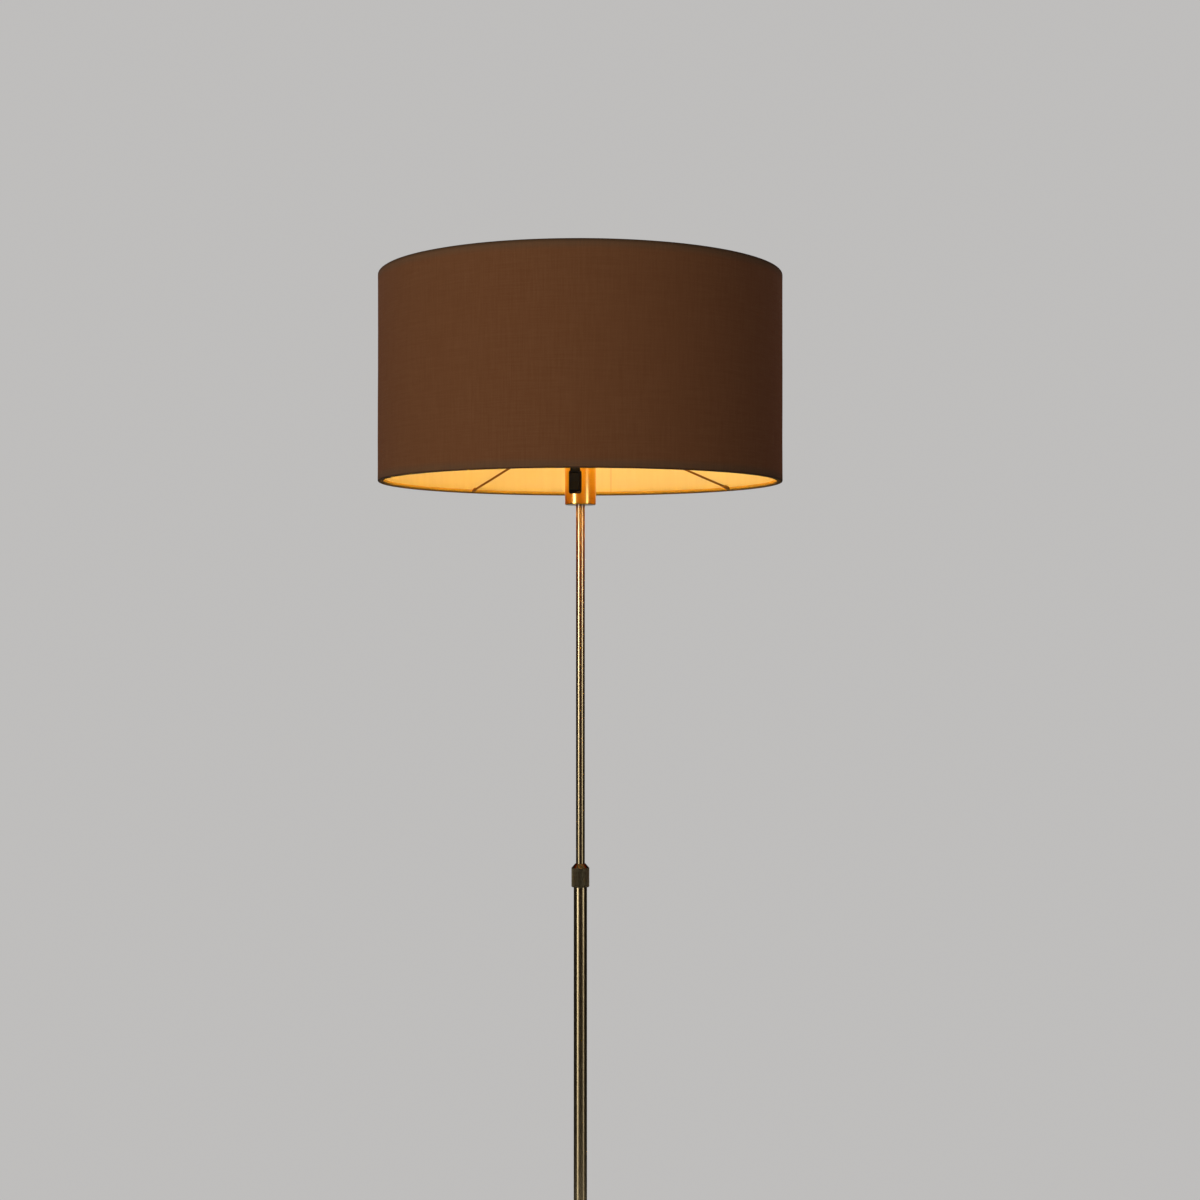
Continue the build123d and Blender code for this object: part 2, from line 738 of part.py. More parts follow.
def shade_liner():
    radius = shade_radius - fabric_thickness - glue_gap
    inset = hem_half_height + shade_wire_diameter / 2 + hem_wire_gap
    return tube(radius, radius - liner_thickness, shade_bottom + inset, shade_top - inset)


def shade_wire(height):
    return Pos(Z=height) * Torus(shade_wire_ring_radius, shade_wire_diameter / 2)


def shade_bottom_wire():
    return shade_wire(shade_bottom + hem_half_height)


def shade_top_wire():
    return shade_wire(shade_top - hem_half_height)


def shade_seam():
    bore = shade_radius + push_clearance
    band = tube(bore + seam_thickness, bore, shade_bottom + seam_end_gap, shade_top - seam_end_gap)
    return band & seam_slab(seam_width)


def spider_ring():
    return tube(spider_ring_radius, spider_ring_bore, spider_ring_bottom,
                spider_ring_bottom + spider_ring_thickness)


def spider_arms():
    return gathered(spider_rods(spider_arm_diameter / 2, shade_wire_diameter / 2 - spider_weld))


sub_parts = [
    base_cover, base_weight, base_plate, plate_screws, base_feet, base_stud, base_washer, base_nut, tube_plug,
    stem_foot, cord_gland, outer_tube, clamp_ferrule, clamp_collet, lock_nut, inner_tube, guide_bush,
    bush_clip, stem_end_plug, holder_cup, holder_nut, switch_housing, switch_bezel, switch_rocker, rocker_pin,
    switch_terminals, contact_blade, terminal_block, terminal_screws, centre_contact, screw_shell,
    holder_skirt, shade_ring, bulb_globe, bulb_cap, bulb_insulator, bulb_contact, shade_fabric, shade_liner,
    shade_bottom_wire, shade_top_wire, shade_seam, spider_ring, spider_arms,
]

os.makedirs("parts", exist_ok=True)
for sub_part in sub_parts:
    export_step(sub_part(), f"parts/{sub_part.__name__}.step")
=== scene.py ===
import math

import bmesh
import bpy
from mathutils import Matrix, Vector, noise


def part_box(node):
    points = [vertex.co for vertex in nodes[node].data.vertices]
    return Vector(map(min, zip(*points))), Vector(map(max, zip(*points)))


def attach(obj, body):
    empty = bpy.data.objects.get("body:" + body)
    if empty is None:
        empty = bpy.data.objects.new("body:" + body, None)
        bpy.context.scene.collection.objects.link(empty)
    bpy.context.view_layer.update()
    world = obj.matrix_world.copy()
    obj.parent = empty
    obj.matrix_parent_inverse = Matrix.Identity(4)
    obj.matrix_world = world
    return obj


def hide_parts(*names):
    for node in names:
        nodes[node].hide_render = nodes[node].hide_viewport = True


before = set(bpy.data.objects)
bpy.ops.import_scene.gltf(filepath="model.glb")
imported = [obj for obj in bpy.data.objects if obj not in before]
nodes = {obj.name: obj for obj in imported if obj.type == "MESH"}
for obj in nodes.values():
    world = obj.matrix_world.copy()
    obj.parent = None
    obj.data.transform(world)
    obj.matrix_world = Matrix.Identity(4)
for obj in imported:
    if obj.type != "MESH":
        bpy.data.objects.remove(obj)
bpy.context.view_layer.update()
scene = bpy.context.scene
scene.view_settings.view_transform = "Standard"


def heights(node):
    """Lowest and highest point of a solid."""
    low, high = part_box(node)
    return low.z, high.z


# Sizes in metres that the boxes of the solids don't give

TUBE_WALL = 0.001
OUTER_TUBE_R, OUTER_TUBE_EDGE = 0.0075, 0.0003
INNER_TUBE_R, INNER_TUBE_EDGE = 0.005, 0.0002

NUT_R = 0.01
NUT_CONE_R, NUT_LIP_R = 0.0095, 0.00595
NUT_BORE_R, NUT_THREAD_R = 0.0052, 0.0081
NUT_FOOT, NUT_CONE = 0.0007, 0.0045
CONE_STEPS = 6
KNURL_TEETH, KNURL_PITCH, KNURL_DEPTH = 58, 0.00108, 0.00042
KNURL_ROWS, FACETS_PER_TOOTH = 108, 6

SHADE_R = 0.225
shade_low, shade_top = heights("shade_fabric")
CLOTH = 0.0006
HEM_WIDTH, HEM_HEIGHT, HEM_CORNER = 0.0062, 0.0042, 0.0013
WIRE_RING_R = SHADE_R - HEM_WIDTH / 2
SWELL, RIPPLE, LARGEST_BULGE = 0.00028, 0.00008, 0.0004
EDGE_WAVE = 0.0003
HEM_RIDGE, HEM_RIDGE_HEIGHT = 0.00012, 0.003
WEFT_PITCH, WARP_THREADS = 0.00115, 1230

SEAM_ANGLE = math.radians(90 - 9.4)
SEAM_WIDTH, SEAM_THICK, SEAM_LIFT = 0.010, 0.00032, 0.00005
LINER_R, LINER_MIDDLE_R, LINER_THICK = 0.22375, 0.224, 0.0004
LINER_BEGIN, LINER_SWEEP = SEAM_ANGLE - 0.035, 2 * math.pi + 0.04
LINER_LAP, LAP_STEP = 0.009, 0.00065
LAP_START, LAP_RAMP = 0.978, 0.012

ARM_ANGLES = [math.radians(37 + 90 * k) for k in range(4)]
ARM_R, ARM_BOW, ARM_SAG = 0.0013, 0.0006, 0.0004
SPIDER_RING_IN_R, SPIDER_RING_OUT_R = 0.01983, 0.02783
ARM_START_R, ARM_END_R = 0.0268, WIRE_RING_R - 0.0009
# Weld beads as distance from the wire's end and radius there
RING_BEAD = ((0.0, 0.0012), (0.0004, 0.0019), (0.0014, 0.0023), (0.0026, 0.0021),
             (0.0042, 0.0015), (0.006, ARM_R))
RIM_BEAD = ((0.0105, ARM_R), (0.0094, 0.0016), (0.0082, 0.0021), (0.0068, 0.0023),
            (0.0052, 0.0022), (0.0036, 0.0018), (0.0012, 0.0013), (0.0, 0.0008))

SKIRT_R, FLANGE_R = 0.01933, 0.02233
SKIRT_BORE_R, SKIRT_FOOT_R = 0.0139, 0.01503
SKIRT_PITCH, SKIRT_CUT = 0.0025, 0.0007
CAP_R, CAP_PITCH, CAP_CUT = 0.0131, 0.0036, 0.00045

# Studio: colours, bearings in degrees from the front towards the right, distances and heights

BACKGROUND = (0.52, 0.512, 0.505)
FILL_COLOUR, FILL_STRENGTH = (0.60, 0.595, 0.59), 0.35
LAMP_COLOUR, GLINT_COLOUR = (1.0, 0.985, 0.96), (0.16, 0.215, 1.0)
LAMP_AIM = Vector((0, 0, 1.15))
LEFT_STREAK, RIGHT_STREAK = -45.3, 52.2
LEFT_STRIP_WIDTH, RIGHT_STRIP_WIDTH = 0.56, 0.46
STRIP_DISTANCE = 2.3
STRIP_LEVELS = (("low", 0.25, 0.7), ("mid", 0.94, 0.68), ("high", 1.84, 1.12))
GLINT_DISTANCE, GLINT_HEIGHT, GLINT_TALL = 2.2, 1.25, 0.4
CARD_R, CARD_STEPS = 0.5, 24
CARD_LOW, CARD_SPLIT, CARD_TOP = 0.1, 0.82, 1.62
CARD_FADE, CARD_GLOW = (0.12, 0.4), (1.272, 1.352)
GLOW_COLOUR = (0.45, 0.066, 0.0)
FLOOR_R, FLOOR_DROP, FLOOR_FADE = 30.0, 0.0002, (0.45, 1.5)

# Camera fitted to the two rims of the shade: focal length in pixels of the picture

PICTURE_WIDTH, FOCAL_LENGTH = 1200.0, 1898.0
SENSOR_WIDTH = 36.0
CAMERA_RIGHT, CAMERA_BACK, CAMERA_BELOW_SHADE = 0.0219, 2.121, 0.147
CAMERA_TILT = math.radians(90.44)


# Node helpers

MIX_A, MIX_B, MIX_RESULT = 6, 7, 2    # colour sockets of the Mix node


def put(tree, socket, value):
    """Link a socket to another one, or set its own value."""
    if isinstance(value, bpy.types.NodeSocket):
        tree.links.new(value, socket)
    else:
        socket.default_value = value


def add(tree, kind, inputs=None, **settings):
    made = tree.nodes.new(kind)
    for key, value in settings.items():
        setattr(made, key, value)
    for key, value in (inputs or {}).items():
        put(tree, made.inputs[key], value)
    return made


def calc(tree, operation, a, b=0.0):
    return add(tree, "ShaderNodeMath", {0: a, 1: b}, operation=operation).outputs[0]


def weigh(tree, a, a_share, b, b_share):
    """Sum of two values, each times its own share."""
    return calc(tree, "ADD", calc(tree, "MULTIPLY", a, a_share), calc(tree, "MULTIPLY", b, b_share))


def span(tree, value, low, high, to_low=0.0, to_high=1.0):
    """Smooth step of a value from low to high, sent to another pair of values."""
    inputs = {"Value": value, "From Min": low, "From Max": high, "To Min": to_low, "To Max": to_high}
    return add(tree, "ShaderNodeMapRange", inputs, interpolation_type="SMOOTHSTEP").outputs[0]


def blend_colour(tree, factor, a, b):
    mix = add(tree, "ShaderNodeMix", data_type="RGBA")
    put(tree, mix.inputs[0], factor)
    for socket, value in ((mix.inputs[MIX_A], a), (mix.inputs[MIX_B], b)):
        put(tree, socket, value if isinstance(value, bpy.types.NodeSocket) else (*value, 1.0))
    return mix.outputs[MIX_RESULT]


def blend_shader(tree, factor, a, b):
    return add(tree, "ShaderNodeMixShader", {0: factor, 1: a.outputs[0], 2: b.outputs[0]})


def split(tree, vector):
    return add(tree, "ShaderNodeSeparateXYZ", {0: vector}).outputs


def grain(tree, place, scale, detail=3.0, roughness=0.55):
    """Noise over object coordinates stretched by a scale of its own for x, y and z."""
    stretched = add(tree, "ShaderNodeVectorMath", {0: place, 1: scale}, operation="MULTIPLY")
    inputs = {"Vector": stretched.outputs[0], "Scale": 1.0, "Detail": detail, "Roughness": roughness}
    return add(tree, "ShaderNodeTexNoise", inputs).outputs["Fac"]


def bump(tree, height, distance, strength):
    inputs = {"Height": height, "Distance": distance, "Strength": strength}
    return add(tree, "ShaderNodeBump", inputs).outputs["Normal"]


def blank(name):
    """Empty material, its tree and the object coordinates."""
    material = bpy.data.materials.new(name)
    material.use_nodes = True
    tree = material.node_tree
    tree.nodes.clear()
    return material, tree, add(tree, "ShaderNodeTexCoord").outputs["Object"]


def show(tree, shader):
    tree.links.new(shader.outputs[0], add(tree, "ShaderNodeOutputMaterial").inputs[0])


def start(name):
    material, tree, place = blank(name)
    bsdf = add(tree, "ShaderNodeBsdfPrincipled")
    show(tree, bsdf)
    return material, tree, bsdf, place


def fill(tree, bsdf, **values):
    for key, value in values.items():
        put(tree, bsdf.inputs[key.replace("_", " ")], value)


# Materials; low and high are the ends of the roughness

def brass(name, light=(0.80, 0.64, 0.37), dark=(0.70, 0.54, 0.285), low=0.2745, high=0.286,
          drawn=0.62, rings=False, shaded_groove=None, underside=None):
    """Satin brass polished round its axis, which draws reflections out across the fine lines.

    rings lays the lines in circles on a flat top, shaded_groove gives the radii between which cuts
    get painted shade, and underside is the height of a lower face painted dark as shade.
    """
    material, tree, bsdf, place = start(name)
    x, y, z = split(tree, place)
    radius = calc(tree, "SQRT", calc(tree, "ADD", calc(tree, "MULTIPLY", x, x),
                                     calc(tree, "MULTIPLY", y, y)))
    if rings:
        circles = {0: calc(tree, "MULTIPLY", radius, 2400.0), 1: calc(tree, "MULTIPLY", x, 9.0),
                   2: calc(tree, "MULTIPLY", y, 9.0)}
        around = add(tree, "ShaderNodeCombineXYZ", circles).outputs[0]
        fine = grain(tree, around, (1, 1, 1), 4.0)
    else:
        fine = grain(tree, place, (14, 14, 2600), 4.0)
    cloud = grain(tree, place, (22, 22, 7), 4.0, 0.6)
    tone = weigh(tree, fine, 0.45, cloud, 0.55)
    colour = blend_colour(tree, span(tree, tone, 0.32, 0.68), dark, light)
    if shaded_groove:
        # painted shade in the grooves
        cut = span(tree, radius, shaded_groove[0], shaded_groove[1], 0.85, 0.0)
        colour = blend_colour(tree, cut, colour, (0.045, 0.04, 0.022))
    if underside is not None:
        # painted shade over the lower face
        painted_underside_shade = span(tree, z, underside + 0.00005, underside + 0.0005, 0.9, 0.0)
        colour = blend_colour(tree, painted_underside_shade, colour, (0.07, 0.045, 0.016))
    tangent = add(tree, "ShaderNodeTangent", direction_type="RADIAL", axis="Z").outputs[0]
    fill(tree, bsdf, Base_Color=colour, Metallic=1.0,
         Roughness=span(tree, tone, 0.3, 0.7, low, high), Anisotropic=drawn,
         Anisotropic_Rotation=0.25, Tangent=tangent, Normal=bump(tree, fine, 0.000004, 0.1))
    return material


def plastic(name, base, shade, low, high, grit=900.0, depth=0.00004, gloss=0.5):
    """Moulded plastic, rubber or fired clay: fine surface grit, faint clouding, handling marks."""
    material, tree, bsdf, place = start(name)
    fine = grain(tree, place, (grit, grit, grit))
    cloud = grain(tree, place, (35, 35, 35))
    colour = blend_colour(tree, span(tree, cloud, 0.3, 0.7), base, shade)
    rough = span(tree, weigh(tree, cloud, 0.6, fine, 0.4), 0.3, 0.7, low, high)
    fill(tree, bsdf, Base_Color=colour, Roughness=rough, Specular_IOR_Level=gloss,
         Normal=bump(tree, fine, depth, 0.5))
    return material


def plated(name, light, dark, low, high, scale=(500, 500, 500)):
    """Plated or bare metal with a grained surface."""
    material, tree, bsdf, place = start(name)
    fine = grain(tree, place, scale, 4.0)
    cloud = grain(tree, place, (45, 45, 45), 4.0)
    tone = weigh(tree, fine, 0.4, cloud, 0.6)
    colour = blend_colour(tree, span(tree, tone, 0.3, 0.7), dark, light)
    fill(tree, bsdf, Base_Color=colour, Metallic=1.0,
         Roughness=span(tree, tone, 0.3, 0.7, high, low), Normal=bump(tree, fine, 0.00003, 0.35))
    return material


def woven(name, warm, grey, pale, glow, glow_colour, outside):
    """Plain weave of slubbed yarn round the drum; its glow is the bulb's light coming through.

    Outside, the glow and the warm colour in the middle are painted light of the bulb; the turned
    edges are greyer and end in a band of painted shade. Inside, the hem's orange colour and glow are
    painted light of the bulb, with painted shade over the edge of the fold.
    """
    material, tree, bsdf, place = start(name)
    x, y, z = split(tree, place)
    angle = calc(tree, "ARCTAN2", x, calc(tree, "MULTIPLY", y, -1.0))
    across = calc(tree, "SINE", calc(tree, "MULTIPLY", angle, float(WARP_THREADS)))
    along = calc(tree, "SINE", calc(tree, "MULTIPLY", z, 2 * math.pi / WEFT_PITCH))
    knots = calc(tree, "MULTIPLY", across, along)
    warp_slub = grain(tree, place, (900, 900, 34))
    weft_slub = grain(tree, place, (30, 30, 900))
    fuzz = grain(tree, place, (2600, 2600, 2600), 2.0)
    cloud = grain(tree, place, (16, 16, 16))
    slub = weigh(tree, warp_slub, 0.55, weft_slub, 0.45)
    from_top = calc(tree, "SUBTRACT", shade_top, z)
    nearest = calc(tree, "MINIMUM", calc(tree, "SUBTRACT", z, shade_low), from_top)
    edge = calc(tree, "ADD", nearest, calc(tree, "MULTIPLY", cloud, 0.0016))
    # painted light: the warm colour and the glow fill the middle of the drum, the greyer colour
    # stays at the turned edges
    middle = span(tree, edge, 0.004125, 0.01275)
    body = blend_colour(tree, middle, grey, warm)
    colour = blend_colour(tree, span(tree, slub, 0.3, 0.72, 0.0, 0.6), body, pale)
    gaps = span(tree, knots, -0.9, 0.1, 0.36, 0.0)
    colour = blend_colour(tree, gaps, colour, (0.018, 0.009, 0.005))
    colour = blend_colour(tree, span(tree, cloud, 0.35, 0.7, 0.0, 0.2), colour, warm)
    if outside:
        # painted shade: a dark band along both rims, wider at the top
        painted_rim_shade = calc(tree, "MAXIMUM", span(tree, nearest, 0.0004, 0.0019, 0.75, 0.0),
                      span(tree, from_top, 0.0008, 0.0045, 0.6, 0.0))
        colour = blend_colour(tree, painted_rim_shade, colour, (0.02, 0.0125, 0.007))
        glow_colour = blend_colour(tree, middle, (0.0, 0.0, 0.0), glow_colour)
    else:
        # painted shade over the edge of the turned hem, where the painted glow also stops
        painted_lip_shade = span(tree, nearest, 0.0002, 0.0034, 0.92, 0.0)
        colour = blend_colour(tree, painted_lip_shade, colour, (0.05, 0.022, 0.005))
        glow_colour = blend_colour(tree, painted_lip_shade, glow_colour, (0.0, 0.0, 0.0))
    height = weigh(tree, knots, 0.5, slub, 1.1)
    height = calc(tree, "ADD", height, calc(tree, "MULTIPLY", fuzz, 0.35))
    fill(tree, bsdf, Base_Color=colour, Roughness=span(tree, slub, 0.3, 0.7, 0.93, 0.8),
         Sheen_Weight=0.02, Sheen_Roughness=0.45, Sheen_Tint=(0.8, 0.76, 0.7, 1.0),
         Specular_IOR_Level=0.08, Normal=bump(tree, height, 0.00016, 0.55),
         Emission_Color=glow_colour, Emission_Strength=glow)
    return material


def film():
    """Cream lining sheet: faint drawn streaks, a satin surface, a darker line along the lap."""
    material, tree, bsdf, place = start("lining_film")
    x, y = split(tree, place)[:2]
    streak = grain(tree, place, (130, 130, 5))
    fibre = grain(tree, place, (900, 900, 900))
    colour = blend_colour(tree, span(tree, streak, 0.3, 0.7), (0.845, 0.775, 0.425),
                          (0.868, 0.803, 0.458))
    from_lap = calc(tree, "SUBTRACT", calc(tree, "ARCTAN2", y, x), SEAM_ANGLE + 0.005)
    # darker, more orange line along the lap
    lap_line = span(tree, calc(tree, "ABSOLUTE", from_lap), 0.0012, 0.0052, 0.55, 0.0)
    colour = blend_colour(tree, lap_line, colour, (0.66, 0.50, 0.24))
    fill(tree, bsdf, Base_Color=colour, Roughness=span(tree, fibre, 0.3, 0.7, 0.5, 0.66),
         Normal=bump(tree, fibre, 0.00004, 0.3))
    return material


def lit_glass():
    """Opal glass of a lit bulb, a little brighter at the crown than by the neck."""
    material, tree, bsdf, place = start("opal_lit")
    neck = heights("bulb_globe")[0]
    haze = grain(tree, place, (60, 60, 60))
    height = calc(tree, "ADD", split(tree, place)[2], calc(tree, "MULTIPLY", haze, 0.006))
    rise = span(tree, height, neck, neck + 0.035)
    fill(tree, bsdf, Base_Color=blend_colour(tree, haze, (0.86, 0.84, 0.8), (0.93, 0.91, 0.87)),
         Roughness=span(tree, haze, 0.3, 0.7, 0.2, 0.32),
         Emission_Color=blend_colour(tree, rise, (1.0, 0.42, 0.03), (1.0, 0.47, 0.045)),
         Emission_Strength=34.0)
    return material


tube_brass = brass("brass_drawn")
turned_brass = brass("brass_turned", low=0.2745, high=0.29, drawn=0.8)
# cup brass more orange than the rest: painted warm reflection of the lit lining, and painted shade
# over its lower face
glow_tinted_cup_brass = brass("brass_cup_glow_tinted", (1.0, 0.58, 0.07), (0.95, 0.53, 0.055), 0.2745, 0.285, 0.5,
                  underside=heights("holder_cup")[0])
spun_brass = brass("brass_spun", low=0.3, high=0.38, drawn=0.6, rings=True)
# dark copy of brass for the nut's cone: painted shade, in place of the dark surroundings it reflects
shaded_brass = brass("brass_painted_shade", (0.18, 0.118, 0.046), (0.13, 0.083, 0.031), 0.14, 0.2)
# dark copy of brass for the knurl: painted shade, in place of the dark surroundings it reflects,
# with painted shade in its grooves
shaded_knurl_brass = brass("brass_knurled_painted_shade", (0.33, 0.285, 0.17), (0.22, 0.19, 0.108), 0.42, 0.55, 0.0,
                    shaded_groove=(NUT_R - 0.0004, NUT_R))
black = plastic("plastic_black", (0.007, 0.0068, 0.007), (0.011, 0.0105, 0.0105), 0.3, 0.45,
                gloss=0.1)
black_dull = plastic("plastic_dull", (0.011, 0.0105, 0.0105), (0.017, 0.016, 0.0155), 0.42, 0.6,
                     gloss=0.2)
rubber = plastic("rubber_black", (0.018, 0.018, 0.018), (0.03, 0.029, 0.028), 0.7, 0.9, 600.0,
                 0.0001)
nylon = plastic("nylon_natural", (0.66, 0.64, 0.57), (0.74, 0.72, 0.66), 0.35, 0.5)
clay = plastic("porcelain", (0.72, 0.70, 0.65), (0.8, 0.785, 0.74), 0.3, 0.5)
dark_glass = plastic("glass_black", (0.008, 0.008, 0.01), (0.014, 0.014, 0.017), 0.06, 0.14)
zinc = plated("steel_zinc", (0.62, 0.62, 0.60), (0.46, 0.46, 0.455), 0.28, 0.46)
iron = plated("iron_cast", (0.16, 0.155, 0.15), (0.09, 0.088, 0.085), 0.55, 0.8, (300, 300, 300))
nickel = plated("nickel", (0.66, 0.64, 0.60), (0.52, 0.5, 0.465), 0.16, 0.3)
coated = plastic("wire_coated", (0.25, 0.105, 0.014), (0.31, 0.135, 0.02), 0.38, 0.55, 700.0,
                 0.00005, 0.12)
# cloth_taupe: the warm middle colour and the glow are painted light of the bulb through the cloth,
# the greyer colour is for the turned edges
cloth = woven("cloth_taupe", (0.096, 0.0372, 0.0135), (0.086, 0.045, 0.0225),
              (0.125, 0.0555, 0.0225), 0.010, (1.0, 0.28, 0.11), True)
# cloth_hem: its orange colours and glow are painted light of the bulb on the turned hem
hem_cloth = woven("cloth_hem", (0.6, 0.36, 0.03), (0.6, 0.36, 0.03), (0.67, 0.42, 0.05), 0.12,
                  (1.0, 0.42, 0.06), False)
lining = film()
opal = lit_glass()

looks = {
    tube_brass: ["outer_tube", "inner_tube"],
    glow_tinted_cup_brass: ["holder_cup"],
    turned_brass: ["stem_foot", "clamp_ferrule", "stem_end_plug", "screw_shell", "centre_contact",
                   "switch_terminals", "contact_blade"],
    spun_brass: ["base_cover"],
    shaded_knurl_brass: ["lock_nut"],
    zinc: ["base_plate", "plate_screws", "base_stud", "base_washer", "base_nut", "tube_plug",
           "bush_clip", "holder_nut", "rocker_pin", "terminal_screws"],
    iron: ["base_weight"],
    rubber: ["base_feet", "cord_gland"],
    black: ["switch_rocker", "switch_bezel"],
    black_dull: ["switch_housing", "holder_skirt", "shade_ring"],
    nylon: ["clamp_collet", "guide_bush"],
    clay: ["terminal_block"],
    cloth: ["shade_fabric", "shade_seam"],
    lining: ["shade_liner"],
    coated: ["shade_bottom_wire", "shade_top_wire", "spider_ring", "spider_arms"],
    opal: ["bulb_globe"],
    nickel: ["bulb_cap", "bulb_contact"],
    dark_glass: ["bulb_insulator"],
}
for look, names in looks.items():
    for name in names:
        for slot in nodes[name].material_slots:
            slot.material = look


# Mesh helpers

def in_scene(name, mesh, material):
    mesh.materials.append(material)
    obj = bpy.data.objects.new(name, mesh)
    scene.collection.objects.link(obj)
    return obj


def piece(name, verts, faces, body, material, sharp=35.0):
    """Smooth-shaded mesh that rides on a body; edges bent by more than sharp degrees stay crisp."""
    mesh = bpy.data.meshes.new(name)
    mesh.from_pydata(verts, [], faces)
    work = bmesh.new()
    work.from_mesh(mesh)
    bmesh.ops.remove_doubles(work, verts=work.verts, dist=1e-7)
    bmesh.ops.recalc_face_normals(work, faces=work.faces)
    work.to_mesh(mesh)
    work.free()
    mesh.shade_smooth()
    mesh.set_sharp_from_angle(angle=math.radians(sharp))
    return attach(in_scene(name, mesh, material), body)


def rounded(corners, steps=5):
    """Closed outline of (radius, height) points from (radius, height, fillet) corners."""
    outline = []
    for i, (r, z, size) in enumerate(corners):
        here = Vector((r, z))
        if size <= 0:
            outline.append((r, z))
            continue
        back = (Vector(corners[i - 1][:2]) - here).normalized()
        ahead = (Vector(corners[(i + 1) % len(corners)][:2]) - here).normalized()
        half = back.angle(ahead) / 2
        centre = here + (back + ahead).normalized() * (size / math.sin(half))
        run = size / math.tan(half)
        first, last = here + back * run, here + ahead * run
        for k in range(steps + 1):
            spoke = (first.lerp(last, k / steps) - centre).normalized() * size
            outline.append(tuple(centre + spoke))
    return outline


def turned(name, outline, segments, body, material, move=None, sharp=35.0):
    """Closed outline turned about Z; move(angle, radius, height) may shift a point of it."""
    verts, faces = [], []
    count = len(outline)
    for s in range(segments):
        angle = 2 * math.pi * s / segments
        for r, z in outline:
            if move:
                r, z = move(angle, r, z)
            verts.append((r * math.cos(angle), r * math.sin(angle), z))
    for s in range(segments):
        here, there = s * count, (s + 1) % segments * count
        for k in range(count):
            after = (k + 1) % count
            faces.append((here + k, there + k, there + after, here + after))
    return piece(name, verts, faces, body, material, sharp)


def rows(low, high, count):
    return [low + (high - low) * k / count for k in range(count + 1)]


def saw(phase):
    """1 at each whole number and 0 halfway between them."""
    return abs(2 * (phase - math.floor(phase)) - 1)


def sweep(points, radii, sides=18):
    """Verts and faces of a closed round bar through points, with a radius at each."""
    verts, faces = [], []
    for i, point in enumerate(points):
        ahead = (points[min(i + 1, len(points) - 1)] - points[max(i - 1, 0)]).normalized()
        side = ahead.cross(Vector((0, 0, 1))).normalized()
        up = side.cross(ahead)
        for k in range(sides):
            turn = 2 * math.pi * k / sides
            verts.append(point + (side * math.cos(turn) + up * math.sin(turn)) * radii[i])
    for i in range(len(points) - 1):
        here, there = i * sides, (i + 1) * sides
        for k in range(sides):
            after = (k + 1) % sides
            faces.append((here + k, here + after, there + after, there + k))
    faces.append(tuple(range(sides)))
    faces.append(tuple((len(points) - 1) * sides + k for k in range(sides)))
    return verts, faces


# Stem

def tube_piece(node, body, radius, edge):
    low, high = heights(node)
    bore = radius - TUBE_WALL
    outline = rounded([(bore, low, 0), (radius, low, edge), (radius, high, edge), (bore, high, 0)])
    made = turned(node + "_drawn", outline, 96, body, tube_brass)
    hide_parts(node)


tube_piece("outer_tube", "base", OUTER_TUBE_R, OUTER_TUBE_EDGE)
tube_piece("inner_tube", "stem", INNER_TUBE_R, INNER_TUBE_EDGE)


def knurled_nut():
    """Clamp nut: diamond knurl between a polished cone and a small foot chamfer."""
    low, high = heights("lock_nut")
    foot, shoulder = low + NUT_FOOT, high - NUT_CONE
    cone_low, cone_high = shoulder + 0.0003, high - 0.0002
    outline = [(NUT_THREAD_R, low), (0.0094, low), (0.00965, low + 0.0001), (0.0098, low + 0.0004)]
    outline += [(NUT_R, z) for z in rows(foot, shoulder - 0.0006, KNURL_ROWS)]
    outline += [(0.0098, shoulder - 0.0002), (0.00965, shoulder + 0.0001)]
    for k in range(CONE_STEPS + 1):
        share = k / CONE_STEPS
        outline.append((NUT_LIP_R + (NUT_CONE_R - NUT_LIP_R) * (1 - share),
                        cone_low + (cone_high - cone_low) * share))
    outline += [(NUT_LIP_R - 0.0002, high), (NUT_BORE_R + 0.0001, high), (NUT_BORE_R, high - 0.0002),
                (NUT_BORE_R, high - 0.006), (NUT_THREAD_R, high - 0.009)]

    def knurl(angle, r, z):
        if r < NUT_R - 0.00001 or not foot - 1e-6 <= z <= shoulder:
            return r, z
        turns, rise = angle * KNURL_TEETH / (2 * math.pi), (z - foot) / KNURL_PITCH
        cut = min(saw(turns + rise), saw(turns - rise))
        return r - KNURL_DEPTH * (1 - min(cut * 1.35, 1.0)), z

    made = turned("clamp_nut_knurled", outline, KNURL_TEETH * FACETS_PER_TOOTH, "clamp_nut",
                  shaded_knurl_brass, knurl, 25.0)
    made.data.materials.append(shaded_brass)
    for face in made.data.polygons:
        if face.center.z > shoulder:
            face.material_index = 1
    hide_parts("lock_nut")


knurled_nut()


# Shade

def uneven(angle, z):
    """Small unevenness of cloth glued to a stiff sheet, as a shift of the radius."""
    broad = Vector((math.cos(angle) * 2.2, math.sin(angle) * 2.2, z * 9))
    fine = Vector((math.cos(angle) * 9, math.sin(angle) * 9, z * 30))
    return SWELL * noise.noise(broad) + RIPPLE * noise.noise(fine)


def cloth_line():
    """Outer face of the cloth from its edge inside the bottom hem to the one inside the top hem."""
    inside, corner = SHADE_R - HEM_WIDTH, HEM_CORNER
    line = [(inside, shade_low + HEM_HEIGHT), (inside, shade_low + HEM_HEIGHT * 0.75)]
    for centre, begin in ((inside + corner, 180), (SHADE_R - corner, 270)):
        for k in range(7):
            turn = math.radians(begin + 15 * k)
            line.append((centre + corner * math.cos(turn),
                         shade_low + corner * (1 + math.sin(turn))))
    flip = shade_low + shade_top
    wall = [(SHADE_R, z) for z in rows(shade_low + 0.004, shade_top - 0.004, 46)]
    return line + wall + [(r, flip - z) for r, z in reversed(line)]


